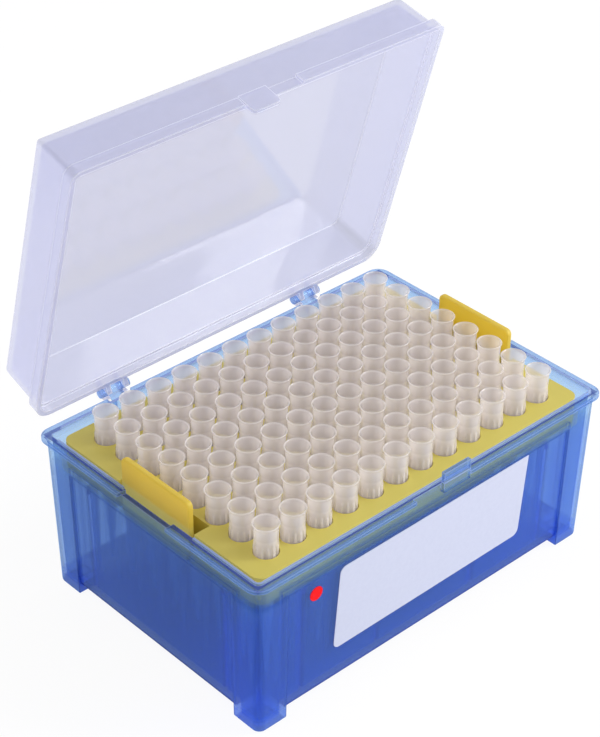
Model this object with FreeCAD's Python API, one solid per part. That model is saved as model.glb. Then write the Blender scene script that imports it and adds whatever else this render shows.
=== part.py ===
import FreeCAD, Part
import math
import os

# Box of pipette tips: a translucent tray on four corner feet, a rack plate that
# hangs 96 tips in it, and a clear lid clipped onto two cross pins at the back.
# Millimetres. The origin is the middle of the four feet, on the surface they stand on.
# X runs along the long side, -Y is the labelled front, +Y the hinge side, +Z up.
# The tips come first, because the rack is made to hold them, the tray to hold the
# rack, and the lid to cover both.

# Tips: twelve columns of eight at the usual 9 mm pitch
TIP_COLUMNS = 12
TIP_ROWS = 8
TIPS_PER_NODE = 2
TIP_PITCH = 9.0
TIP_LENGTH = 49.1

# Tips: outside, from the shoulder that sits in the rack up to the rim and down to the point
TIP_BODY_RADIUS = 3.03
TIP_NECK_FLARE = 0.27
TIP_RIM_FLARE = 0.3
TIP_RIM_HEIGHT = 0.35
TIP_FLARE_HEIGHT = 0.9
TIP_SHOULDER_STEP = 0.28
TIP_LOWER_STEP = 0.3
TIP_BELOW_SEAT = 7.6
TIP_END_RADIUS = 0.45
TIP_RIBS = 12
TIP_RIB_WIDTH = 0.5
TIP_RIB_REACH = 0.27
TIP_RIB_ABOVE_PLATE = 2.9

# Tips: inside, the mouth that takes a pipette's nose and the walls below it
MOUTH_WALL = 0.35
MOUTH_DEPTH = 4.0
MOUTH_STEP = 0.3
MOUTH_STEP_HEIGHT = 0.4
TIP_LOWER_WALL = 0.5
TIP_END_WALL = 0.23

# Rack: a plate with a skirt and a stepped hole for each tip
TIP_RIM_ABOVE_PLATE = 8.9
TIP_SEAT_CLEARANCE = 0.2
SEAT_DEPTH = 1.5
PLATE_THICKNESS = 2.5
PLATE_EDGE = 4.35
SKIRT_DEPTH = 8.4
SKIRT_THICKNESS = 1.3
RACK_CORNER_RADIUS = 3.0
SKIRT_CORNER_RADIUS = 2.35

# Rack: the two upright grips, each standing in a pocket at one end
GRIP_LENGTH = 26.8
GRIP_THICKNESS = 1.9
GRIP_OVERHANG = 0.45
GRIP_RISE = 8.6
GRIP_CORNER_RADIUS = 1.6
GRIP_EDGE_RADIUS = 0.6
GRIP_POCKET_END_GAP = 1.5
GRIP_POCKET_DEPTH = 5.1
GRIP_POCKET_WALL = 1.1
GRIP_POCKET_FLOOR = 1.5
GRIP_POCKET_WEB = 0.55

# Tray: the moulded wall, and the gaps it leaves round the rack and under the tips
WALL = 1.4
RACK_END_GAP = 2.1
RACK_SIDE_GAP = 1.9
RACK_BELOW_LEDGE = 1.3
TIP_END_GAP = 2.8
BODY_CORNER_RADIUS = 2.5
SIDE_DRAFT_DEG = 1.2
FLOOR_UNDERSIDE = 3.8
FLOOR_THICKNESS = 1.4

# Tray: the ledge round the top, and the lip on it that the lid closes over
FLANGE_OVERHANG = 1.5
FLANGE_THICKNESS = 1.0
LIP_THICKNESS = 0.6
LIP_HEIGHT = 0.6
LIP_END_GAP = 0.5

# Tray: sunk panels between the corner posts, and the feet that close the posts below
PANEL_RECESS = 0.8
POST_WIDTH = 10.5
FOOT_BOTTOM_THICKNESS = 1.4
FOOT_EDGE_RADIUS = 1.2
BAND_HEIGHT = 8.0

# Tray: ribs inside the walls that carry the rack, placed in pitches from the middle
RIB_THICKNESS = 1.2
RIB_BEYOND_SKIRT = 0.2
LONG_WALL_RIBS = (-5, -2, 2, 5)
SHORT_WALL_RIBS = (-3, 3)

# Tray: hand gaps in the short sides, longer in the lip than in the wall and ledge
HAND_GAP_LENGTH = 19.0
HAND_GAP_DEPTH = 1.2
LIP_GAP_FRONT = 17.5
LIP_GAP_BACK = 10.0

# Tray: latch on the front
CATCH_MIDDLE_X = -4.2
CATCH_LENGTH = 9.4
TONGUE_LENGTH = 9.7
TONGUE_HEIGHT = 3.7
TONGUE_ROOT_DEPTH = 2.5
TONGUE_THICKNESS = 1.2
LATCH_SIDE_GAP = 0.4
LATCH_BACK_GAP = 0.15

# Hinge: a round cross pin on a hub, gripped by two clips of the lid, twice
HINGE_SPACING = 71.0
HINGE_ABOVE_LEDGE = 0.8
PIN_RADIUS = 1.3
PIN_CLEARANCE = 0.06
PIN_BEYOND_CLIP = 1.15
HUB_SHOULDER = 0.6
HUB_LENGTH = 3.6
HUB_ROOT_DEPTH = 4.0
CLIP_RING = 1.04
CLIP_THICKNESS = 1.5
CLIP_SIDE_GAP = 0.35
CLIP_WALL_GAP = 1.25
CLIP_MOUTH_SHARE = 0.8
CLIP_RISE = 4.0
CLIP_BURY = 0.5
CLIP_CORNER_DEG = 60.0

# Lid: drawn shut, then swung open by LID_OPEN_DEG about the pins
LID_OPEN_DEG = 74.31
LID_GAP = 0.1
LIP_CLEARANCE = 0.15
RIM_SETBACK = 0.65
RIM_HEIGHT = 3.3
RIM_STEP_HEIGHT = 2.2
RIM_FRONT_RADIUS = 2.8
RIM_HINGE_RADIUS = 5.5
LID_HEADROOM = 7.6
LID_WALL = 1.1
LID_PANEL = 1.2
LID_WALL_SETBACK = 1.1
LID_DRAFT_DEG = 2.4
LID_EDGE_RADIUS = 0.8
CATCH_DROP = 3.5
CATCH_THICKNESS = 1.0
CATCH_WALL_GAP = 0.25
CATCH_CORNER_RADIUS = 1.4

# Label and spot, stuck on the front panel below its top edge; the label has slanted ends
LABEL_LENGTH = 69.7
LABEL_HEIGHT = 26.5
LABEL_MIDDLE_X = 0.6
LABEL_TOP_MARGIN = 1.4
LABEL_SLANT = 1.8
LABEL_TURN_DEG = 0.5
LABEL_CORNER_RADIUS = 2.0
STICKER_THICKNESS = 0.12
SPOT_RADIUS = 2.12
SPOT_BEFORE_LABEL = 7.5
SPOT_TOP_MARGIN = 5.2

# Modelling: the least corner radius, how far a cutting solid runs past what it
# cuts, the size of one that has no end, and the slack when edges are picked by place
MIN_CORNER_RADIUS = 0.6
PAST = 1.0
BIG = 500.0
NEAR = 0.001

# Tip sizes that follow from the ones above
TIP_NECK_RADIUS = TIP_BODY_RADIUS + TIP_NECK_FLARE
TIP_RIM_RADIUS = TIP_NECK_RADIUS + TIP_RIM_FLARE
TIP_STEM_RADIUS = TIP_BODY_RADIUS - TIP_SHOULDER_STEP
TIP_TAPER_RADIUS = TIP_STEM_RADIUS - TIP_LOWER_STEP
TIP_SEAT_BELOW_RIM = TIP_RIM_ABOVE_PLATE + SEAT_DEPTH
TIP_TAPER_START = TIP_SEAT_BELOW_RIM + TIP_BELOW_SEAT
MOUTH_RADIUS = TIP_NECK_RADIUS - MOUTH_WALL

# Rack sizes
HOLE_RADIUS = TIP_BODY_RADIUS + TIP_RIB_REACH + TIP_SEAT_CLEARANCE
SEAT_BORE_RADIUS = TIP_STEM_RADIUS + TIP_SEAT_CLEARANCE
RACK_HALF_X = (TIP_COLUMNS - 1) * TIP_PITCH / 2 + HOLE_RADIUS + GRIP_POCKET_WEB + GRIP_POCKET_DEPTH
RACK_HALF_Y = (TIP_ROWS - 1) * TIP_PITCH / 2 + HOLE_RADIUS + PLATE_EDGE
POCKET_X = RACK_HALF_X - GRIP_POCKET_DEPTH

# Tray sizes and heights
HALF_X = RACK_HALF_X + RACK_END_GAP + WALL
HALF_Y = RACK_HALF_Y + RACK_SIDE_GAP + WALL
FLANGE_X = HALF_X + FLANGE_OVERHANG
FLANGE_Y = HALF_Y + FLANGE_OVERHANG
POST_EDGE_X = HALF_X - POST_WIDTH
POST_EDGE_Y = HALF_Y - POST_WIDTH
DRAFT = math.tan(math.radians(SIDE_DRAFT_DEG))
LIP_INSET = WALL - LIP_THICKNESS
FLOOR_TOP = FLOOR_UNDERSIDE + FLOOR_THICKNESS
TIP_RIM_Z = FLOOR_TOP + TIP_END_GAP + TIP_LENGTH
PLATE_TOP = TIP_RIM_Z - TIP_RIM_ABOVE_PLATE
SKIRT_BOTTOM = PLATE_TOP - SKIRT_DEPTH
SEAT_Z = PLATE_TOP - SEAT_DEPTH
LEDGE_HEIGHT = PLATE_TOP + RACK_BELOW_LEDGE
PANEL_TOP = LEDGE_HEIGHT - BAND_HEIGHT

# Hinge and lid places
HUB_RADIUS = PIN_RADIUS + HUB_SHOULDER
CLIP_RADIUS = PIN_RADIUS + PIN_CLEARANCE + CLIP_RING
CLIP_INNER = HUB_LENGTH / 2 + CLIP_SIDE_GAP
CLIP_OUTER = CLIP_INNER + CLIP_THICKNESS
PIN_HALF_LENGTH = CLIP_OUTER + PIN_BEYOND_CLIP
PIN_Y = HALF_Y + CLIP_WALL_GAP + CLIP_RADIUS
PIN_Z = LEDGE_HEIGHT + HINGE_ABOVE_LEDGE
HINGES_X = (-HINGE_SPACING / 2, HINGE_SPACING / 2)
RIM_X = FLANGE_X - RIM_SETBACK
RIM_Y = FLANGE_Y - RIM_SETBACK
RIM_Z = LEDGE_HEIGHT + LID_GAP
RIM_THICKNESS = RIM_X - (HALF_X - LIP_INSET) - LIP_CLEARANCE
PANEL_UNDERSIDE = TIP_RIM_Z + LID_HEADROOM
CATCH_LEFT = CATCH_MIDDLE_X - CATCH_LENGTH / 2
CATCH_RIGHT = CATCH_MIDDLE_X + CATCH_LENGTH / 2
TONGUE_LEFT = CATCH_RIGHT + LATCH_SIDE_GAP
TONGUE_RIGHT = TONGUE_LEFT + TONGUE_LENGTH


def vec(x, y, z):
    return FreeCAD.Vector(x, y, z)


def block(x_low, x_high, y_low, y_high, z_low, z_high):
    """A box between two corners."""
    return Part.makeBox(x_high - x_low, y_high - y_low, z_high - z_low, vec(x_low, y_low, z_low))


def cylinder_x(radius, x_low, x_high, y, z):
    """A round bar along X."""
    return Part.makeCylinder(radius, x_high - x_low, vec(x_low, y, z), vec(1, 0, 0))


def profile_along_x(points, x_low, x_high):
    """A prism along X with its outline given as (y, z) points."""
    corners = [vec(x_low, y, z) for y, z in points]
    face = Part.Face(Part.makePolygon(corners + corners[:1]))
    return face.extrude(vec(x_high - x_low, 0, 0))


def rounded_outline(half_x, half_y, front_radius, back_radius, z):
    """A rectangle about the origin, with one radius for the front corners and one for the back."""
    rf = front_radius
    rb = back_radius
    s = math.sqrt(0.5)
    fx = half_x - rf
    fy = half_y - rf
    bx = half_x - rb
    by = half_y - rb
    sides = [
        Part.makeLine(vec(-fx, -half_y, z), vec(fx, -half_y, z)),
        Part.Arc(vec(fx, -half_y, z), vec(fx + rf * s, -fy - rf * s, z), vec(half_x, -fy, z)).toShape(),
        Part.makeLine(vec(half_x, -fy, z), vec(half_x, by, z)),
        Part.Arc(vec(half_x, by, z), vec(bx + rb * s, by + rb * s, z), vec(bx, half_y, z)).toShape(),
        Part.makeLine(vec(bx, half_y, z), vec(-bx, half_y, z)),
        Part.Arc(vec(-bx, half_y, z), vec(-bx - rb * s, by + rb * s, z), vec(-half_x, by, z)).toShape(),
        Part.makeLine(vec(-half_x, by, z), vec(-half_x, -fy, z)),
        Part.Arc(vec(-half_x, -fy, z), vec(-fx - rf * s, -fy - rf * s, z), vec(-fx, -half_y, z)).toShape(),
    ]
    return Part.Wire(sides)


def rounded_slab(half_x, half_y, radius, z_low, z_high):
    """An upright slab with rounded corners."""
    outline = rounded_outline(half_x, half_y, radius, radius, z_low)
    return Part.Face(outline).extrude(vec(0, 0, z_high - z_low))


def at_four_corners(shape):
    """The shape in the back right corner, with its mirror images in the other three."""
    right = shape.fuse(shape.mirror(vec(0, 0, 0), vec(0, 1, 0)))
    return right.fuse(right.mirror(vec(0, 0, 0), vec(1, 0, 0)))


# ---- Tray -----------------------------------------------------------------


def tray_form(inset, z_low, z_high):
    """The tray's drafted outer form, moved inwards by inset, between two heights."""
    radius = max(BODY_CORNER_RADIUS - inset, MIN_CORNER_RADIUS)
    wires = []
    for z in (z_low, z_high):
        pull = inset + (LEDGE_HEIGHT - z) * DRAFT
        wires.append(rounded_outline(HALF_X - pull, HALF_Y - pull, radius, radius, z))
    return Part.makeLoft(wires, True, True)


def corner_posts():
    """The four corner posts, their feet rounded along the bottom edges."""
    corner = block(POST_EDGE_X, BIG, POST_EDGE_Y, BIG, 0, LEDGE_HEIGHT)
    post = tray_form(0, 0, LEDGE_HEIGHT).common(corner)
    bottom_edges = [edge for edge in post.Edges if edge.BoundBox.ZMax < NEAR]
    post = post.makeFillet(FOOT_EDGE_RADIUS, bottom_edges)
    return at_four_corners(post)


def tray_outside():
    """Sunk panels, full-size corner posts down to the feet, and the band under the ledge."""
    panels = tray_form(PANEL_RECESS, FLOOR_UNDERSIDE, LEDGE_HEIGHT)
    band = tray_form(0, PANEL_TOP, LEDGE_HEIGHT)
    return panels.fuse([corner_posts(), band])


def tray_inside():
    """The cavity, one wall in from the outside everywhere, down into the feet at the corners."""
    top = LEDGE_HEIGHT + LIP_HEIGHT + PAST
    panels = tray_form(PANEL_RECESS + WALL, FLOOR_TOP, top)
    corner = block(POST_EDGE_X + WALL, BIG, POST_EDGE_Y + WALL, BIG, FOOT_BOTTOM_THICKNESS, top)
    posts = tray_form(WALL, FOOT_BOTTOM_THICKNESS, top).common(at_four_corners(corner))
    band = tray_form(WALL, PANEL_TOP + WALL, top)
    return panels.fuse([posts, band])


def carrying_ribs():
    """Upright ribs on the inside of the walls, whose tops carry the rack's skirt."""
    reach_x = RACK_HALF_X - SKIRT_THICKNESS - RIB_BEYOND_SKIRT
    reach_y = RACK_HALF_Y - SKIRT_THICKNESS - RIB_BEYOND_SKIRT
    half = RIB_THICKNESS / 2
    wall_x = HALF_X - PANEL_RECESS - WALL / 2 - (LEDGE_HEIGHT - FLOOR_UNDERSIDE) * DRAFT
    wall_y = HALF_Y - PANEL_RECESS - WALL / 2 - (LEDGE_HEIGHT - FLOOR_UNDERSIDE) * DRAFT
    low = FLOOR_TOP - FLOOR_THICKNESS / 2
    ribs = []
    for pitches in LONG_WALL_RIBS:
        x = pitches * TIP_PITCH
        ribs.append(block(x - half, x + half, -wall_y, -reach_y, low, SKIRT_BOTTOM))
        ribs.append(block(x - half, x + half, reach_y, wall_y, low, SKIRT_BOTTOM))
    for pitches in SHORT_WALL_RIBS:
        y = pitches * TIP_PITCH
        ribs.append(block(-wall_x, -reach_x, y - half, y + half, low, SKIRT_BOTTOM))
        ribs.append(block(reach_x, wall_x, y - half, y + half, low, SKIRT_BOTTOM))
    return ribs


def hinge_pins():
    """The cross pins, each on a hub that stands out from the back of the tray."""
    shapes = []
    back = HALF_Y - WALL / 2
    for x in HINGES_X:
        half = HUB_LENGTH / 2
        root = profile_along_x(
            [
                (back, LEDGE_HEIGHT - HUB_ROOT_DEPTH),
                (PIN_Y, PIN_Z - HUB_RADIUS),
                (PIN_Y, PIN_Z),
                (PIN_Y - HUB_RADIUS, PIN_Z),
                (PIN_Y - HUB_RADIUS, LEDGE_HEIGHT),
                (back, LEDGE_HEIGHT),
            ],
            x - half,
            x + half,
        )
        hub = cylinder_x(HUB_RADIUS, x - half, x + half, PIN_Y, PIN_Z)
        pin = cylinder_x(PIN_RADIUS, x - PIN_HALF_LENGTH, x + PIN_HALF_LENGTH, PIN_Y, PIN_Z)
        shapes.extend([root, hub, pin])
    return shapes


def clip_slots():
    """Slots in the back ledge, where the lid's clips turn."""
    low = LEDGE_HEIGHT - FLANGE_THICKNESS - PAST
    high = LEDGE_HEIGHT + PAST
    inner = HUB_LENGTH / 2
    outer = CLIP_OUTER + CLIP_SIDE_GAP
    slots = []
    for x in HINGES_X:
        slots.append(block(x - outer, x - inner, HALF_Y, BIG, low, high))
        slots.append(block(x + inner, x + outer, HALF_Y, BIG, low, high))
    return slots


def lip_corner_gaps():
    """The two hinge-side corners, where the lip stops short of the lid's rounder rim."""
    gap_x = RIM_X - RIM_HINGE_RADIUS - LIP_END_GAP
    gap_y = RIM_Y - RIM_HINGE_RADIUS - LIP_END_GAP
    high = LEDGE_HEIGHT + LIP_HEIGHT + PAST
    return [
        block(gap_x, BIG, gap_y, BIG, LEDGE_HEIGHT, high),
        block(-BIG, -gap_x, gap_y, BIG, LEDGE_HEIGHT, high),
    ]


def make_tray():
    """Tray with its ledge, lip, gaps, latch tongue, hinge pins and ribs, as one moulding."""
    flange_radius = BODY_CORNER_RADIUS + FLANGE_OVERHANG
    flange = rounded_slab(FLANGE_X, FLANGE_Y, flange_radius, LEDGE_HEIGHT - FLANGE_THICKNESS, LEDGE_HEIGHT)
    lip = rounded_slab(
        HALF_X - LIP_INSET,
        HALF_Y - LIP_INSET,
        max(BODY_CORNER_RADIUS - LIP_INSET, MIN_CORNER_RADIUS),
        LEDGE_HEIGHT - FLANGE_THICKNESS,
        LEDGE_HEIGHT + LIP_HEIGHT,
    )
    lip = lip.cut(lip_corner_gaps())
    tray = tray_outside().fuse([flange, lip]).cut(tray_inside())

    half = HAND_GAP_LENGTH / 2
    lip_past = LEDGE_HEIGHT + LIP_HEIGHT + PAST
    gaps = [
        block(-BIG, BIG, -half, half, LEDGE_HEIGHT - HAND_GAP_DEPTH, lip_past),
        block(-BIG, BIG, -LIP_GAP_FRONT, LIP_GAP_BACK, LEDGE_HEIGHT, lip_past),
    ]
    gaps.append(
        block(
            CATCH_LEFT - LATCH_SIDE_GAP,
            TONGUE_RIGHT,
            -BIG,
            -HALF_Y,
            LEDGE_HEIGHT - FLANGE_THICKNESS - PAST,
            LEDGE_HEIGHT + PAST,
        )
    )
    tray = tray.cut(gaps + clip_slots())

    tongue_back = HALF_Y - WALL / 2
    tongue_foot = block(
        TONGUE_LEFT,
        TONGUE_RIGHT,
        -HALF_Y - TONGUE_THICKNESS,
        -tongue_back,
        LEDGE_HEIGHT - TONGUE_ROOT_DEPTH,
        LEDGE_HEIGHT,
    )
    tongue = block(
        TONGUE_LEFT,
        TONGUE_RIGHT,
        -HALF_Y - TONGUE_THICKNESS,
        -HALF_Y,
        LEDGE_HEIGHT - TONGUE_ROOT_DEPTH,
        LEDGE_HEIGHT + TONGUE_HEIGHT,
    )
    return tray.fuse([tongue_foot, tongue] + hinge_pins() + carrying_ribs()).removeSplitter()


# ---- Lid ------------------------------------------------------------------


def lid_outline(inset, z):
    """The lid's rim outline moved inwards by inset."""
    front = max(RIM_FRONT_RADIUS - inset, LID_EDGE_RADIUS)
    back = max(RIM_HINGE_RADIUS - inset, LID_EDGE_RADIUS)
    return rounded_outline(RIM_X - inset, RIM_Y - inset, front, back, z)


def lid_form(inset, z_low, z_high, slope):
    """A solid between two heights whose outline closes in by slope for each millimetre of rise."""
    wires = [lid_outline(inset, z_low), lid_outline(inset + (z_high - z_low) * slope, z_high)]
    return Part.makeLoft(wires, True, True)


def lid_clips():
    """C-shaped clips behind the lid's back wall, two around each cross pin."""
    wall_y = RIM_Y - LID_WALL_SETBACK - LID_WALL / 2
    corner = math.radians(CLIP_CORNER_DEG)
    points = [
        (RIM_Y - CLIP_BURY, RIM_Z + LID_GAP),
        (PIN_Y, PIN_Z - CLIP_RADIUS),
        (PIN_Y + CLIP_RADIUS * math.cos(corner), PIN_Z + CLIP_RADIUS * math.sin(corner)),
        (RIM_Y - CLIP_BURY, PIN_Z + CLIP_RISE),
        (wall_y, PIN_Z + CLIP_RISE),
        (wall_y, RIM_Z + RIM_STEP_HEIGHT + CLIP_BURY),
    ]
    mouth = CLIP_MOUTH_SHARE * PIN_RADIUS
    hole = PIN_RADIUS + PIN_CLEARANCE
    clips = []
    for x in HINGES_X:
        for low in (x - CLIP_OUTER, x + CLIP_INNER):
            high = low + CLIP_THICKNESS
            arm = profile_along_x(points, low, high)
            clip = arm.fuse(cylinder_x(CLIP_RADIUS, low, high, PIN_Y, PIN_Z))
            clip = clip.cut(cylinder_x(hole, low - PAST, high + PAST, PIN_Y, PIN_Z))
            below = PIN_Z - CLIP_RADIUS - PAST
            clips.append(clip.cut(block(low - PAST, high + PAST, PIN_Y - mouth, PIN_Y + mouth, below, PIN_Z)))
    return clips


def catch_tab():
    """The tab under the front rim that drops through the gap in the tray's ledge."""
    y_back = -HALF_Y - CATCH_WALL_GAP
    y_front = y_back - CATCH_THICKNESS
    tab = block(CATCH_LEFT, CATCH_RIGHT, y_front, y_back, RIM_Z - CATCH_DROP, RIM_Z + RIM_HEIGHT)
    low_edges = []
    for edge in tab.Edges:
        box = edge.BoundBox
        if box.YLength > CATCH_THICKNESS - NEAR and box.ZMax < RIM_Z:
            low_edges.append(edge)
    return tab.makeFillet(CATCH_CORNER_RADIUS, low_edges)


def round_top_edges(lid):
    """Rounds the outer edge between the lid's panel and its walls."""
    top = lid.BoundBox.ZMax
    edges = [edge for edge in lid.Edges if edge.BoundBox.ZMin > top - NEAR]
    return lid.makeFillet(LID_EDGE_RADIUS, edges)


def make_lid():
    """The lid, shut, swung open to where it is stored."""
    slope = math.tan(math.radians(LID_DRAFT_DEG))
    band_top = RIM_Z + RIM_HEIGHT
    panel_top = PANEL_UNDERSIDE + LID_PANEL
    step_z = RIM_Z + RIM_STEP_HEIGHT
    wall_inset = LID_WALL_SETBACK + LID_WALL

    outside = round_top_edges(lid_form(LID_WALL_SETBACK, band_top - RIM_HEIGHT / 2, panel_top, slope))
    band = lid_form(0, RIM_Z, band_top, 0)
    hollow = lid_form(wall_inset, RIM_Z - PAST, PANEL_UNDERSIDE, slope)
    rim_hollow = lid_form(RIM_THICKNESS, RIM_Z - PAST, step_z, 0)
    shell = outside.fuse(band).cut([hollow, rim_hollow])

    notch = block(
        TONGUE_LEFT - LATCH_SIDE_GAP,
        TONGUE_RIGHT + LATCH_SIDE_GAP,
        -BIG,
        -HALF_Y + LATCH_BACK_GAP,
        RIM_Z - PAST,
        LEDGE_HEIGHT + TONGUE_HEIGHT + LATCH_SIDE_GAP,
    )
    lid = shell.cut(notch).fuse([catch_tab()] + lid_clips()).removeSplitter()
    lid.rotate(vec(0, PIN_Y, PIN_Z), vec(1, 0, 0), -LID_OPEN_DEG)
    return lid


# ---- Rack -----------------------------------------------------------------


def tip_places():
    """Every tip's column, row and centre, column by column from the front."""
    places = []
    for column in range(TIP_COLUMNS):
        for row in range(TIP_ROWS):
            x = (column - (TIP_COLUMNS - 1) / 2) * TIP_PITCH
            y = (row - (TIP_ROWS - 1) / 2) * TIP_PITCH
            places.append((column, row, x, y))
    return places


def rack_outline_slab(inset, radius, pocket_wall, z_low, z_high):
    """The rack's outline moved inwards by inset, with its grip pockets and their walls left out."""
    slab = rounded_slab(RACK_HALF_X - inset, RACK_HALF_Y - inset, radius, z_low, z_high)
    edge = POCKET_X - pocket_wall
    half = GRIP_LENGTH / 2 + GRIP_POCKET_END_GAP + pocket_wall
    pockets = [
        block(edge, BIG, -half, half, z_low - PAST, z_high + PAST),
        block(-BIG, -edge, -half, half, z_low - PAST, z_high + PAST),
    ]
    return slab.cut(pockets)


def right_grip():
    """The upright grip on the right end, on a floor that joins it to the pocket's wall."""
    outer = RACK_HALF_X + GRIP_OVERHANG
    inner = outer - GRIP_THICKNESS
    half = GRIP_LENGTH / 2
    grip = block(inner, outer, -half, half, SKIRT_BOTTOM, PLATE_TOP + GRIP_RISE)
    top = grip.BoundBox.ZMax
    corners = []
    for edge in grip.Edges:
        box = edge.BoundBox
        if box.XLength > GRIP_THICKNESS - NEAR and box.ZMin > top - NEAR:
            corners.append(edge)
    grip = grip.makeFillet(GRIP_CORNER_RADIUS, corners)
    rims = []
    for edge in grip.Edges:
        box = edge.BoundBox
        if box.XLength < NEAR and box.ZMin > SKIRT_BOTTOM + NEAR:
            rims.append(edge)
    grip = grip.makeFillet(GRIP_EDGE_RADIUS, rims)
    floor = block(
        POCKET_X - GRIP_POCKET_WALL,
        outer,
        -half,
        half,
        SKIRT_BOTTOM,
        SKIRT_BOTTOM + GRIP_POCKET_FLOOR,
    )
    return grip.fuse(floor)


def make_rack():
    """Plate, skirt and grips, with a stepped hole for each tip."""
    plate_under = PLATE_TOP - PLATE_THICKNESS
    outside = rack_outline_slab(0, RACK_CORNER_RADIUS, 0, SKIRT_BOTTOM, PLATE_TOP)
    hollow = rack_outline_slab(
        SKIRT_THICKNESS, SKIRT_CORNER_RADIUS, GRIP_POCKET_WALL, SKIRT_BOTTOM - PAST, plate_under
    )
    rack = outside.cut(hollow)
    grip = right_grip()
    rack = rack.fuse([grip, grip.mirror(vec(0, 0, 0), vec(1, 0, 0))]).removeSplitter()
    holes = []
    for column, row, x, y in tip_places():
        bore = Part.makeCylinder(SEAT_BORE_RADIUS, PLATE_THICKNESS + 2 * PAST, vec(x, y, plate_under - PAST))
        seat = Part.makeCylinder(HOLE_RADIUS, SEAT_DEPTH + PAST, vec(x, y, SEAT_Z))
        holes.append(bore.fuse(seat))
    return rack.cut(holes)


# ---- Tips -----------------------------------------------------------------


def make_tip():
    """One tip about the Z axis, its rim at height 0, with ribs that sit in the rack."""
    seat = -TIP_SEAT_BELOW_RIM
    outline = [
        (TIP_RIM_RADIUS, 0),
        (TIP_RIM_RADIUS, -TIP_RIM_HEIGHT),
        (TIP_NECK_RADIUS, -TIP_FLARE_HEIGHT),
        (TIP_BODY_RADIUS, seat),
        (TIP_STEM_RADIUS, seat),
        (TIP_TAPER_RADIUS, -TIP_TAPER_START),
        (TIP_END_RADIUS, -TIP_LENGTH),
        (TIP_END_RADIUS - TIP_END_WALL, -TIP_LENGTH),
        (TIP_TAPER_RADIUS - TIP_LOWER_WALL, -TIP_TAPER_START),
        (TIP_STEM_RADIUS - TIP_LOWER_WALL, seat),
        (MOUTH_RADIUS - MOUTH_STEP, -MOUTH_DEPTH - MOUTH_STEP_HEIGHT),
        (MOUTH_RADIUS, -MOUTH_DEPTH),
        (MOUTH_RADIUS, -TIP_FLARE_HEIGHT / 2),
        (TIP_RIM_RADIUS - TIP_RIM_HEIGHT, 0),
    ]
    corners = [vec(radius, 0, z) for radius, z in outline]
    tip = Part.Face(Part.makePolygon(corners + corners[:1])).revolve(vec(0, 0, 0), vec(0, 0, 1), 360)
    half = TIP_RIB_WIDTH / 2
    inner = TIP_BODY_RADIUS - TIP_SHOULDER_STEP / 2
    rib_top = TIP_RIB_ABOVE_PLATE - TIP_RIM_ABOVE_PLATE
    rib = block(inner, TIP_BODY_RADIUS + TIP_RIB_REACH, -half, half, seat, rib_top)
    ribs = []
    for index in range(TIP_RIBS):
        turned = rib.copy()
        turned.rotate(vec(0, 0, 0), vec(0, 0, 1), index * 360 / TIP_RIBS)
        ribs.append(turned)
    return tip.fuse(ribs).removeSplitter()


def tip_groups():
    """Neighbouring tips of one column, a few to a node, named by column number and row letters."""
    tip = make_tip()
    groups = {}
    for column, row, x, y in tip_places():
        first = row - row % TIPS_PER_NODE
        letters = "".join(chr(ord("a") + first + step) for step in range(TIPS_PER_NODE))
        placed = tip.copy()
        placed.translate(vec(x, y, TIP_RIM_Z))
        groups.setdefault(f"tips_{column + 1:02d}_{letters}", []).append(placed)
    return {name: Part.makeCompound(tips) for name, tips in groups.items()}


# ---- Label and spot -------------------------------------------------------


def on_front_panel(sticker, z):
    """Lays a sticker on the panel, from upright with its back on Y = 0 and its middle at Z = 0."""
    y = -(HALF_Y - PANEL_RECESS - (LEDGE_HEIGHT - z) * DRAFT)
    sticker.rotate(vec(0, 0, 0), vec(1, 0, 0), SIDE_DRAFT_DEG)
    sticker.translate(vec(0, y, z))
    return sticker


def make_label():
    """A white label with slanted ends and one square corner, stuck on a little turned."""
    half_x = LABEL_LENGTH / 2
    half_z = LABEL_HEIGHT / 2
    lean = LABEL_SLANT / 2
    corners = [
        vec(-half_x - lean, 0, -half_z),
        vec(half_x - lean, 0, -half_z),
        vec(half_x + lean, 0, half_z),
        vec(-half_x + lean, 0, half_z),
    ]
    outline = Part.Face(Part.makePolygon(corners + corners[:1]))
    label = outline.extrude(vec(0, -STICKER_THICKNESS, 0))
    rounded = []
    for edge in label.Edges:
        box = edge.BoundBox
        across = box.YLength > NEAR
        top_right = box.XMin > 0 and box.ZMin > 0
        if across and not top_right:
            rounded.append(edge)
    label = label.makeFillet(LABEL_CORNER_RADIUS, rounded)
    label.rotate(vec(0, 0, 0), vec(0, 1, 0), -LABEL_TURN_DEG)
    label.translate(vec(LABEL_MIDDLE_X, 0, 0))
    return on_front_panel(label, PANEL_TOP - LABEL_TOP_MARGIN - LABEL_HEIGHT / 2)


def make_spot():
    """A round red spot to the left of the label."""
    x = LABEL_MIDDLE_X - LABEL_LENGTH / 2 - SPOT_BEFORE_LABEL
    spot = Part.makeCylinder(SPOT_RADIUS, STICKER_THICKNESS, vec(x, 0, 0), vec(0, -1, 0))
    return on_front_panel(spot, PANEL_TOP - SPOT_TOP_MARGIN)


# ---- Files ----------------------------------------------------------------

nodes = {
    "base_tray": make_tray(),
    "lid": make_lid(),
    "tip_rack": make_rack(),
    "front_label": make_label(),
    "red_spot": make_spot(),
}
nodes.update(tip_groups())

os.makedirs("parts", exist_ok=True)
for name, shape in nodes.items():
    shape.exportStep(f"parts/{name}.step")
    print(f"{name}: {len(shape.Solids)} solids, {shape.Volume:.1f} mm3, valid {shape.isValid()}")
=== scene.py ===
import math

import bpy
from mathutils import Matrix, Vector


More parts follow.
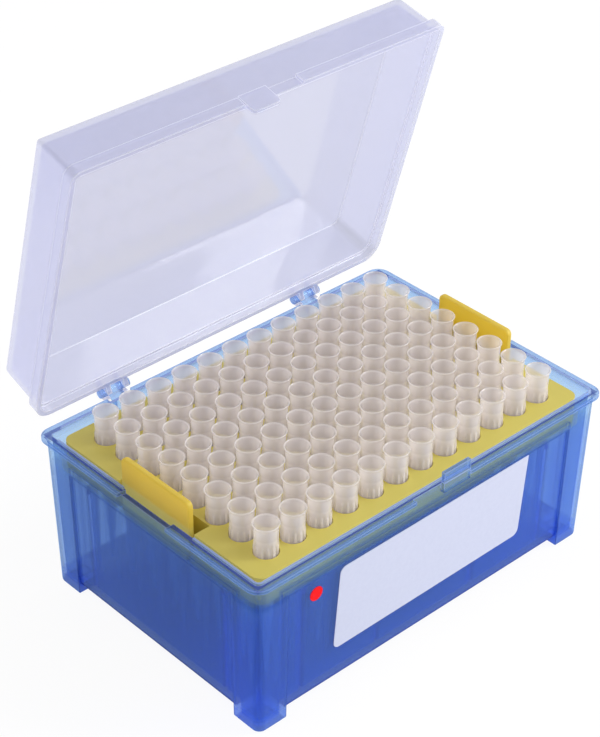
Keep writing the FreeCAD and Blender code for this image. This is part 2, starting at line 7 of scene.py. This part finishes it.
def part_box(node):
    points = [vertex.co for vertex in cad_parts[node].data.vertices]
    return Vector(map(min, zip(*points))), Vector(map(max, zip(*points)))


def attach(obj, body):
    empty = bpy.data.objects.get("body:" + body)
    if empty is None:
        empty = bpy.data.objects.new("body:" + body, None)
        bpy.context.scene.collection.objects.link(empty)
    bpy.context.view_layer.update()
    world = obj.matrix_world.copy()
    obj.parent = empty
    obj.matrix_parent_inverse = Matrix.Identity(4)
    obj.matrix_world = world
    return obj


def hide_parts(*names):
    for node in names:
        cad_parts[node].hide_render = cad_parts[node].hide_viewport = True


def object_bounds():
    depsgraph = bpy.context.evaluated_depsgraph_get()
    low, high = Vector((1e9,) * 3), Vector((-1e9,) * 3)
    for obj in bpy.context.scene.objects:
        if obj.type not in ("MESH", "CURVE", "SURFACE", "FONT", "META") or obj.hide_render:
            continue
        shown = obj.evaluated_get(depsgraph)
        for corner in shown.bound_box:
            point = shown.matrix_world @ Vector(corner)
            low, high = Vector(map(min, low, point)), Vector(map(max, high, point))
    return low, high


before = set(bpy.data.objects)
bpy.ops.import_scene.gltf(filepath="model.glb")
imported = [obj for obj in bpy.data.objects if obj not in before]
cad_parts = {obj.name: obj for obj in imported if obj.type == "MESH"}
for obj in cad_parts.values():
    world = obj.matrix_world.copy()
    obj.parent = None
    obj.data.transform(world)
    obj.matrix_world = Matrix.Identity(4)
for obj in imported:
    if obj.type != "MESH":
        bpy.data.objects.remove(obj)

cad_low, cad_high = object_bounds()
MM = 0.001


# ---- Tray -------------------------------------------------------------------
# The tray is one moulding in translucent blue polypropylene: four corner posts with
# feet, sunk panels, a flat ledge with a lip, and the pins that the lid turns on. The
# mould rounds every edge a little and leaves the gloss of its skin faintly uneven.


class Shade:
    """One output of a material's node tree, on which plain arithmetic adds Math nodes."""

    def __init__(self, tree, socket):
        self.tree = tree
        self.socket = socket

    def node(self, kind, settings=None, output=0, **values):
        """Adds a node: its settings first, then its sockets' values or links, by name or _number."""
        node = self.tree.nodes.new("ShaderNode" + kind)
        for name, value in (settings or {}).items():
            setattr(node, name, value)
        for name, value in values.items():
            key = int(name[1:]) if name[0] == "_" else name.replace("_", " ")
            self.plug(node.inputs[key], value)
        return Shade(self.tree, node.outputs[output])

    def plug(self, socket, value):
        """Links another shade into a socket, or sets a plain value on it; None leaves it alone."""
        if value is None:
            return
        if isinstance(value, Shade):
            self.tree.links.new(value.socket, socket)
        else:
            socket.default_value = value

    def math(self, operation, *others):
        """A Math node on this value and others."""
        terms = {f"_{index}": term for index, term in enumerate((self, *others))}
        return self.node("Math", {"operation": operation}, **terms)

    def larger(self, other):
        """The larger of this value and another."""
        return self.math("MAXIMUM", other)

    def smaller(self, other):
        """The smaller of this value and another."""
        return self.math("MINIMUM", other)

    def ramp(self, start, end):
        """0 up to where this value is start, 1 from where it is end, and even between."""
        return self.node("MapRange", Value=self, From_Min=start, From_Max=end)

    def axis(self, name):
        """The X, Y or Z of this vector."""
        return self.node("SeparateXYZ", output=name, Vector=self)

    def between(self, low, high):
        """A colour that goes from low to high as this value goes from 0 to 1."""
        return self.node("Mix", {"data_type": "RGBA"}, 2, _0=self, _6=low, _7=high)

    def blend(self, other, share):
        """This shader with a share of another one in its place."""
        return self.node("MixShader", Fac=share, _1=self, _2=other)

    def __abs__(self):
        return self.math("ABSOLUTE")

    def __add__(self, other):
        return self.math("ADD", other)

    def __sub__(self, other):
        return self.math("SUBTRACT", other)

    def __rsub__(self, other):
        return self.node("Math", {"operation": "SUBTRACT"}, _0=other, _1=self)

    def __mul__(self, other):
        return self.math("MULTIPLY", other)

    __radd__ = __add__
    __rmul__ = __mul__


def new_material(name):
    """An empty node material, and the shade that its nodes are added through."""
    material = bpy.data.materials.new(name)
    material.use_nodes = True
    material.node_tree.nodes.clear()
    return material, Shade(material.node_tree, None)


def surface(material, shader):
    """Makes a shader the material's surface."""
    output = material.node_tree.nodes.new("ShaderNodeOutputMaterial")
    material.node_tree.links.new(shader.socket, output.inputs["Surface"])
    return material


def soften(node, width):
    """Rounds a moulding's edges, as its mould does, without moving its faces."""
    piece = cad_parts[node]
    piece.data.shade_smooth()
    weld = piece.modifiers.new("weld", "WELD")
    weld.merge_threshold = 0.001 * MM
    flat = piece.modifiers.new("flat", "DECIMATE")
    flat.decimate_type = "DISSOLVE"
    flat.angle_limit = math.radians(0.3)
    facets = piece.modifiers.new("facets", "TRIANGULATE")
    facets.min_vertices = 5
    bevel = piece.modifiers.new("edges", "BEVEL")
    bevel.limit_method = "ANGLE"
    bevel.angle_limit = math.radians(32)
    bevel.width = width
    bevel.segments = 2
    normals = piece.modifiers.new("normals", "WEIGHTED_NORMAL")
    normals.keep_sharp = False
    normals.weight = 100
    return piece


def polish(add, shader, index, roughness, bump, tone=(1, 1, 1, 1)):
    """The gloss on the outer face of a clear wall, stronger at a grazing look."""
    graze = add.node("Fresnel", IOR=index, Normal=bump)
    inner_face = add.node("NewGeometry", output="Backfacing")
    gloss = add.node("BsdfGlossy", Color=tone, Roughness=roughness, Normal=bump)
    return shader.blend(gloss, graze * (1 - inner_face))


# Cosine of the turn from a face's own normal to the rounded one, where an edge begins and is full
EDGE_BEGINS = 0.995
EDGE_FULL = 0.92


def edge_mask(add, radius):
    """1 along the edges between a moulding's faces, fading to 0 within the radius."""
    facing = add.node("NewGeometry", output="Normal")
    rounded = add.node("Bevel", {"samples": 4}, Radius=radius)
    turn = add.node("VectorMath", {"operation": "DOT_PRODUCT"}, "Value", _0=rounded, _1=facing)
    return turn.ramp(EDGE_BEGINS, EDGE_FULL)


# Heights above the table: the walls' bottom rim, the plain band above the sunk
# panels, the top of the walls, and the ledge and the lip on it
WALL_FOOT = 3.8 * MM
BAND_FOOT = 40.5 * MM
WALL_TOP = 47.2 * MM
LEDGE_FOOT = 48.0 * MM
LIP_TOP = 50.1 * MM
FADE = 0.5 * MM

# Plan: from the middle to the outside of the walls, and along them to a post's edge
HALF_LENGTH = 62.15 * MM
HALF_WIDTH = 42.65 * MM
POST_WIDTH = 10.5 * MM

BLUE = (0.18, 0.34, 0.95, 1), (0.22, 0.38, 1.0, 1)
BLUE_GLOW = (0.08, 0.28, 1.0, 1)
BLUE_TINT = (0.74, 0.87, 0.99, 1)
BLUE_GLOSS = (0.35, 0.6, 1, 1)
# Painted shade in dark navy and painted highlight in pale lavender for the tray's edges
PAINTED_SHADE_NAVY = (0.025, 0.035, 0.27, 1)
PAINTED_HIGHLIGHT_LAVENDER = (0.5, 0.58, 0.9, 1)
DEEP_LIGHT = (0.16, 0.42, 0.96, 1)
PALE_LIGHT = (0.92, 0.94, 0.98, 1)


def blue_skin(add, place):
    """What is seen on the wall itself: its blue, half lit from outside and half aglow."""
    cloud = add.node("TexNoise", Vector=place, Scale=38.0, Detail=3.0, Roughness=0.5)
    body = add.node(
        "BsdfPrincipled",
        Base_Color=cloud.between(*BLUE),
        Roughness=0.32 + 0.1 * cloud,
        IOR=1.49,
        Specular_IOR_Level=0.1,
    )
    glow = add.node("BsdfTranslucent", Color=BLUE_GLOW)
    return body.blend(glow, 0.4)


def blue_window(add):
    """What is seen through the wall, part of it blurred by the haze in the plastic."""
    clear = add.node("BsdfTransparent", Color=BLUE_TINT)
    haze = add.node("BsdfRefraction", Color=BLUE_TINT, Roughness=0.2, IOR=1.2)
    return clear.blend(haze, 0.4)


def bottom_rims(height, past_end, past_side):
    """1 along the bottom rims of the walls and of the corner feet."""
    off_post = past_end.smaller(past_side).ramp(-POST_WIDTH, -POST_WIDTH - 0.2 * MM)
    wall_rim = height.ramp(WALL_FOOT + 1.0 * MM, WALL_FOOT + 0.3 * MM)
    foot_rim = height.ramp(1.1 * MM, 0.2 * MM)
    return (wall_rim * off_post).larger(foot_rim)


def wall_tops(add, height, past_end, past_side):
    """1 on the faces that lie on top of the walls and look up."""
    on_wall = past_end.larger(past_side).ramp(0.1 * MM, -0.1 * MM)
    upward = add.node("NewGeometry", output="Normal").axis("Z").ramp(0.3, 0.8)
    return on_wall * (upward * height.ramp(WALL_TOP, WALL_TOP + FADE))


def tray_plastic():
    """See-through blue, with painted shade in navy along its edges below the ledge, on the wall tops and
    along the bottom rims, and a painted highlight along the edges above and on the lip.
    """
    material, add = new_material("tray blue plastic")
    place = add.node("TexCoord", output="Object")
    height = place.axis("Z")
    past_end = abs(place.axis("X")) - HALF_LENGTH
    past_side = abs(place.axis("Y")) - HALF_WIDTH
    feet = height.ramp(WALL_FOOT + 1.0 * MM, WALL_FOOT - 0.5 * MM)
    band = height.ramp(BAND_FOOT, BAND_FOOT + FADE)
    ledge = height.ramp(LEDGE_FOOT - FADE, LEDGE_FOOT)
    lip = height.ramp(LIP_TOP - 0.3 * MM, LIP_TOP - 0.1 * MM)
    lip = lip * height.ramp(LIP_TOP + 0.3 * MM, LIP_TOP + 0.1 * MM)
    # More is seen through the band, and less through the ledge and the thick feet
    window_share = 0.73 + 0.15 * band - 0.1 * ledge - 0.25 * feet
    wall = blue_skin(add, place).blend(blue_window(add), window_share)

    edge = edge_mask(add, 0.5 * MM)
    # Painted shade: dark navy along the edges below the ledge, on the wall tops in the gap beside the
    # rack, and along the bottom rims
    dark = edge * (1 - ledge) * 0.8
    dark = dark.larger(wall_tops(add, height, past_end, past_side) * (1 - lip) * 0.65)
    dark = dark.larger(bottom_rims(height, past_end, past_side) * 0.75)
    # Painted highlight: pale lavender along the edges above the ledge and on the lip
    painted_highlight = (edge * ledge).larger(lip) * 0.4
    wall = wall.blend(add.node("BsdfDiffuse", Color=PAINTED_SHADE_NAVY), dark)
    wall = wall.blend(add.node("BsdfDiffuse", Color=PAINTED_HIGHLIGHT_LAVENDER), painted_highlight)
    grain = add.node("TexNoise", Vector=place, Scale=1500.0, Detail=2.0)
    bump = add.node("Bump", Strength=0.02, Distance=0.0002, Height=grain)
    wall = polish(add, wall, 1.35, 0.1, bump, BLUE_GLOSS)

    # Light on its way in takes a deep dye from the panels and hardly any from the band
    deep = add.node("BsdfTransparent", Color=DEEP_LIGHT)
    pale = add.node("BsdfTransparent", Color=PALE_LIGHT)
    dyed = deep.blend(pale, band)
    wall = wall.blend(dyed, add.node("LightPath", output="Is Diffuse Ray"))
    return surface(material, wall.blend(dyed, add.node("LightPath", output="Is Shadow Ray")))


tray = soften("base_tray", 0.22 * MM)
tray.material_slots[0].material = tray_plastic()

# ---- Rack -------------------------------------------------------------------
# The rack is one moulding in yellow polypropylene: a plate with a hole for each tip,
# a skirt under it, and two thin grips that a finger and thumb lift it by. It rests on
# ribs inside the tray.

GRIP_FOOT = 48.7 * MM
YELLOW = (0.64, 0.565, 0.12, 1), (0.71, 0.63, 0.145, 1)
YELLOW_GLOW = (1.0, 0.78, 0.01, 1)


def rack_plastic():
    """Satin yellow, with more light through the grips than through the plate."""
    material, add = new_material("rack yellow plastic")
    place = add.node("TexCoord", output="Object")
    cloud = add.node("TexNoise", Vector=place, Scale=45.0, Detail=3.0, Roughness=0.5)
    grain = add.node("TexNoise", Vector=place, Scale=1400.0, Detail=2.0)
    bump = add.node("Bump", Strength=0.06, Distance=0.0002, Height=grain)
    body = add.node(
        "BsdfPrincipled",
        Base_Color=cloud.between(*YELLOW),
        Roughness=0.38 + 0.12 * cloud,
        IOR=1.49,
        Normal=bump,
    )
    glow = add.node("BsdfTranslucent", Color=YELLOW_GLOW, Normal=bump)
    grip = place.axis("Z").ramp(GRIP_FOOT, GRIP_FOOT + 1 * MM)
    return surface(material, body.blend(glow, 0.2 + 0.28 * grip))


rack = soften("tip_rack", 0.2 * MM)
rack.material_slots[0].material = rack_plastic()

# ---- Tips -------------------------------------------------------------------
# Each tip is a thin tapered tube in natural, milky polypropylene, hanging in its hole
# by the shoulder under twelve short ribs. Its mouth is flared at the rim and steps in
# below, where a pipette's nose ends.

# Millimetres: radii outside, then heights from the rim, and the faces round a tip
RIM = 3.6
NECK = 3.3
STEM = 3.03
LOWER = 2.75
POINT = 0.45
SHOULDER_Z = -10.4
TAPER_Z = -18.0
POINT_Z = -49.1
TIP_TURNS = 40

TIP_RIBS = 12
RIB_HALF_WIDTH = 0.24
RIB_ROOT = 2.9

MILKY = (0.83, 0.795, 0.79, 1), (0.90, 0.87, 0.87, 1)
MILKY_GLOW = (0.92, 0.885, 0.88, 1)
MILKY_TINT = (0.985, 0.975, 0.97, 1)
MILKY_SHADOW = (0.74, 0.72, 0.71, 1)


def tip_profile():
    """Radius and height, below the rim, down the outside of a tip and up its inside."""
    return [
        (3.36, -0.02), (3.48, 0.0), (3.57, -0.05), (RIM, -0.16), (3.57, -0.3), (3.45, -0.6), (3.33, -0.95),
        (NECK, -1.4), (3.2, -4.0), (STEM, -9.6), (STEM, SHOULDER_Z), (LOWER, SHOULDER_Z), (2.45, TAPER_Z),
        (POINT, POINT_Z), (0.22, POINT_Z), (1.95, TAPER_Z), (2.25, SHOULDER_Z), (2.6, -4.7), (2.68, -4.35),
        (2.9, -4.05), (2.95, -3.8), (3.0, -1.2), (3.08, -0.7), (3.2, -0.3), (3.26, -0.1),
    ]


def add_rib(points, faces, angle):
    """One rib on the stem: its section at three heights, and the faces between and at the ends."""
    side = Vector((-math.sin(angle), math.cos(angle), 0))
    out = Vector((math.cos(angle), math.sin(angle), 0))
    base = len(points)
    for z, reach in ((-10.38, 3.3), (-6.6, 3.3), (-5.9, 3.06)):
        for across in (-RIB_HALF_WIDTH, RIB_HALF_WIDTH):
            for depth in (RIB_ROOT, reach):
                spot = out * depth + side * across
                points.append((spot.x * MM, spot.y * MM, z * MM))
    for a, b in ((base, base + 4), (base + 4, base + 8)):
        faces.append((a + 1, a + 3, b + 3, b + 1))
        faces.append((a, a + 1, b + 1, b))
        faces.append((a + 3, a + 2, b + 2, b + 3))
        faces.append((a + 2, a, b, b + 2))
    faces.append((base, base + 2, base + 3, base + 1))
    faces.append((base + 8, base + 9, base + 11, base + 10))


def tip_mesh():
    """One tip about the Z axis, its rim at height 0, with the ribs above its shoulder."""
    profile = tip_profile()
    rings = len(profile)
    points = []
    faces = []
    for turn in range(TIP_TURNS):
        angle = 2 * math.pi * turn / TIP_TURNS
        for radius, z in profile:
            points.append((radius * math.cos(angle) * MM, radius * math.sin(angle) * MM, z * MM))
        here = turn * rings
        after = (turn + 1) % TIP_TURNS * rings
        for ring in range(rings):
            lower = (ring + 1) % rings
            faces.append((here + ring, here + lower, after + lower, after + ring))
    for rib in range(TIP_RIBS):
        add_rib(points, faces, 2 * math.pi * rib / TIP_RIBS)
    mesh = bpy.data.meshes.new("tip")
    mesh.from_pydata(points, [], faces)
    mesh.validate()
    mesh.shade_smooth()
    mesh.set_sharp_from_angle(angle=math.radians(50))
    return mesh


def lets_light_through(add, shader, tint):
    """Lamps shine through a clear wall with its tint instead of leaving a black shadow."""
    clear = add.node("BsdfTransparent", Color=tint)
    return shader.blend(clear, add.node("LightPath", output="Is Shadow Ray"))


def tip_plastic():
    """Milky plastic, clearer round the thin mouth and whiter at the rim."""
    material, add = new_material("natural tip plastic")
    place = add.node("TexCoord", output="Object")
    cloud = add.node("TexNoise", Vector=place, Scale=300.0, Detail=2.0, Roughness=0.5)
    colour = cloud.between(*MILKY)
    body = add.node("BsdfPrincipled", Base_Color=colour, Roughness=0.18 + 0.08 * cloud, IOR=1.49)
    glow = add.node("BsdfTranslucent", Color=MILKY_GLOW)
    clear = add.node("BsdfTransparent", Color=MILKY_TINT)
    height = place.axis("Z")
    mouth = height.ramp(-4.5 * MM, -3.8 * MM)
    rim = height.ramp(-0.5 * MM, -0.15 * MM)
    wall = body.blend(glow, 0.5).blend(clear, 0.5 + 0.1 * mouth - 0.12 * rim)
    wall = polish(add, wall, 1.4, 0.15, None)
    return surface(material, lets_light_through(add, wall, MILKY_SHADOW))


tip_form = tip_mesh()
tip_form.materials.append(tip_plastic())
for node in list(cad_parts):
    if not node.startswith("tips_"):
        continue
    low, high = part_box(node)
    radius = (high.x - low.x) / 2
    for letter, y in zip(node[-2:], (low.y + radius, high.y - radius)):
        tip = bpy.data.objects.new(f"{node[:-3].replace('tips', 'tip')}_{letter}", tip_form)
        bpy.context.collection.objects.link(tip)
        tip.location = ((low.x + high.x) / 2, y, high.z)
        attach(tip, "base")
        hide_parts(node)

# ---- Label and spot ---------------------------------------------------------
# A blank label of coated white paper, cut with slanted ends, and a small red paper
# spot are stuck on the front panel.


def sticker_paper(name, dark, light, shine):
    """Paper with fine fibres in its colour and its surface."""
    material, add = new_material(name)
    place = add.node("TexCoord", output="Object")
    fibre = add.node("TexNoise", Vector=place, Scale=900.0, Detail=4.0, Roughness=0.6)
    bump = add.node("Bump", Strength=0.08, Distance=0.0001, Height=fibre)
    body = add.node(
        "BsdfPrincipled",
        Base_Color=fibre.between(dark, light),
        Roughness=0.45 + 0.1 * fibre,
        Specular_IOR_Level=shine,
        Normal=bump,
    )
    return surface(material, body)


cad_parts["front_label"].material_slots[0].material = sticker_paper(
    "label paper", (0.53, 0.56, 0.72, 1), (0.60, 0.63, 0.78, 1), 0.5
)
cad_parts["red_spot"].material_slots[0].material = sticker_paper(
    "red paper", (0.84, 0.003, 0.006, 1), (0.93, 0.006, 0.01, 1), 0.1
)

# ---- Lid --------------------------------------------------------------------
# The lid is one moulding in clear, faintly violet polystyrene, its walls a little
# wavy. Two pairs of clips hold it on the tray's pins, about which it swings open.

VIOLET = (0.60, 0.615, 0.80, 1), (0.67, 0.685, 0.87, 1)
VIOLET_GLOW = (0.70, 0.71, 0.90, 1)
VIOLET_TINT = (0.95, 0.955, 0.985, 1)
VIOLET_SHADOW = (0.93, 0.935, 0.97, 1)
# Painted highlight for the lid's edges
PAINTED_EDGE_HIGHLIGHT = (0.95, 0.95, 1, 1)


def lid_plastic():
    """Nearly clear, with a violet veil and a painted white highlight along its edges."""
    material, add = new_material("clear lid plastic")
    place = add.node("TexCoord", output="Object")
    cloud = add.node("TexNoise", Vector=place, Scale=18.0, Detail=2.0, Roughness=0.5)
    wave = add.node("TexNoise", Vector=place, Scale=60.0, Detail=1.0)
    bump = add.node("Bump", Strength=0.05, Distance=0.0004, Height=wave)
    body = add.node(
        "BsdfPrincipled",
        Base_Color=cloud.between(*VIOLET),
        Roughness=0.1 + 0.06 * cloud,
        IOR=1.5,
        Normal=bump,
    )
    glow = add.node("BsdfTranslucent", Color=VIOLET_GLOW, Normal=bump)
    clear = add.node("BsdfTransparent", Color=VIOLET_TINT)
    wall = body.blend(glow, 0.5).blend(clear, 0.58)
    # Painted highlight: white mixed in along the lid's edges
    wall = wall.blend(add.node("BsdfDiffuse", Color=PAINTED_EDGE_HIGHLIGHT), 0.45 * edge_mask(add, 0.6 * MM))
    wall = polish(add, wall, 1.5, 0.04, bump)
    return surface(material, lets_light_through(add, wall, VIOLET_SHADOW))


lid = soften("lid", 0.2 * MM)
lid.material_slots[0].material = lid_plastic()

# ---- Studio -----------------------------------------------------------------
# A white floor and backdrop, a strong soft lamp high to the front right, a weaker one
# low below it, a faint one above, and a long lens from the front left corner.

FLOOR_SIZE = 6.0
FLOOR_BELOW = 0.02 * MM
OPEN_WHITE = 0.9
SHADED_WHITE = 0.06
SKY_SEEN = 1.0
SKY_LIGHT = 0.55
SHADE_X = 56.0 * MM
SHADE_Y = 36.5 * MM
SHADE_BLUR = 4.0 * MM


def looked_at(add):
    """1 for what is seen straight, mirrored or through clear walls, and 0 for light."""
    straight = add.node("LightPath", output="Is Camera Ray")
    mirrored = add.node("LightPath", output="Is Glossy Ray")
    through = add.node("LightPath", output="Is Transmission Ray")
    return straight.larger(mirrored).larger(through)


def studio_white():
    """Floor white: seen as white, darker where the box shades it, and unlit under its floor."""
    material, add = new_material("studio white")
    paint = add.node("BsdfDiffuse", Color=(0.85, 0.85, 0.86, 1))
    white = add.node("Emission", Color=(1, 1, 1, 1), Strength=1.03)
    place = add.node("TexCoord", output="Object")
    past_end = abs(place.axis("X")).ramp(SHADE_X - SHADE_BLUR, SHADE_X)
    past_side = abs(place.axis("Y")).ramp(SHADE_Y - SHADE_BLUR, SHADE_Y)
    open_floor = past_end.larger(past_side)
    white_share = SHADED_WHITE + (OPEN_WHITE - SHADED_WHITE) * open_floor
    return surface(material, paint.blend(white, looked_at(add) * white_share))


half = FLOOR_SIZE / 2
corners = [(-half, -half, 0), (half, -half, 0), (half, half, 0), (-half, half, 0)]
floor_mesh = bpy.data.meshes.new("floor")
floor_mesh.from_pydata(corners, [], [(0, 1, 2, 3)])
floor_mesh.materials.append(studio_white())
floor = bpy.data.objects.new("floor", floor_mesh)
bpy.context.collection.objects.link(floor)
floor.location.z = cad_low.z - FLOOR_BELOW

world = bpy.data.worlds.new("studio")
bpy.context.scene.world = world
world.use_nodes = True
world.node_tree.nodes.clear()
sky = Shade(world.node_tree, None)
sky_strength = looked_at(sky) * (SKY_SEEN - SKY_LIGHT) + SKY_LIGHT
backdrop = sky.node("Background", Color=(1, 1, 1, 1), Strength=sky_strength)
output = world.node_tree.nodes.new("ShaderNodeOutputWorld")
world.node_tree.links.new(backdrop.socket, output.inputs["Surface"])


def lamp(name, place, aim, size, power, colour):
    """A square soft lamp that points at a place on the box."""
    light = bpy.data.lights.new(name, "AREA")
    light.size = size
    light.energy = power
    light.color = colour
    holder = bpy.data.objects.new(name, light)
    bpy.context.collection.objects.link(holder)
    holder.location = place
    holder.rotation_euler = (Vector(aim) - Vector(place)).to_track_quat("-Z", "Y").to_euler()


lamp("key", (0.85, -0.65, 0.8), (0, 0, 0.03), 0.5, 11.0, (1, 1, 1))
lamp("low", (0.7, -0.9, 0.12), (0.02, 0, 0.02), 0.4, 3.5, (1, 1, 1))
lamp("fill", (-0.5, 0.1, 1.1), (0, 0, 0.03), 0.5, 1.2, (1, 0.99, 0.97))

CAMERA_AZIMUTH = math.radians(-42.9928)
CAMERA_ELEVATION = math.radians(34.3624)
CAMERA_ROLL = math.radians(0.590)
CAMERA_DISTANCE = 554.392 * MM
CAMERA_LENS = 101.56
CAMERA_NEAR = 0.01
AIM_ACROSS = -6.7299 * MM
AIM_UP = 5.6295 * MM
TIP_RIM_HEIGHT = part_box("tips_01_ab")[1].z

back = Vector((
    math.sin(CAMERA_AZIMUTH) * math.cos(CAMERA_ELEVATION),
    -math.cos(CAMERA_AZIMUTH) * math.cos(CAMERA_ELEVATION),
    math.sin(CAMERA_ELEVATION),
))
level = Vector((math.cos(CAMERA_AZIMUTH), math.sin(CAMERA_AZIMUTH), 0))
upright = back.cross(level)
right = math.cos(CAMERA_ROLL) * level + math.sin(CAMERA_ROLL) * upright
up = math.cos(CAMERA_ROLL) * upright - math.sin(CAMERA_ROLL) * level
place = back * CAMERA_DISTANCE + right * AIM_ACROSS + up * AIM_UP + Vector((0, 0, TIP_RIM_HEIGHT))
lens = bpy.data.cameras.new("camera")
lens.lens = CAMERA_LENS
lens.clip_start = CAMERA_NEAR
camera = bpy.data.objects.new("camera", lens)
bpy.context.collection.objects.link(camera)
camera.matrix_world = Matrix((
    (right.x, up.x, back.x, place.x),
    (right.y, up.y, back.y, place.y),
    (right.z, up.z, back.z, place.z),
    (0, 0, 0, 1),
))
bpy.context.scene.camera = camera
bpy.context.scene.view_settings.view_transform = "Standard"
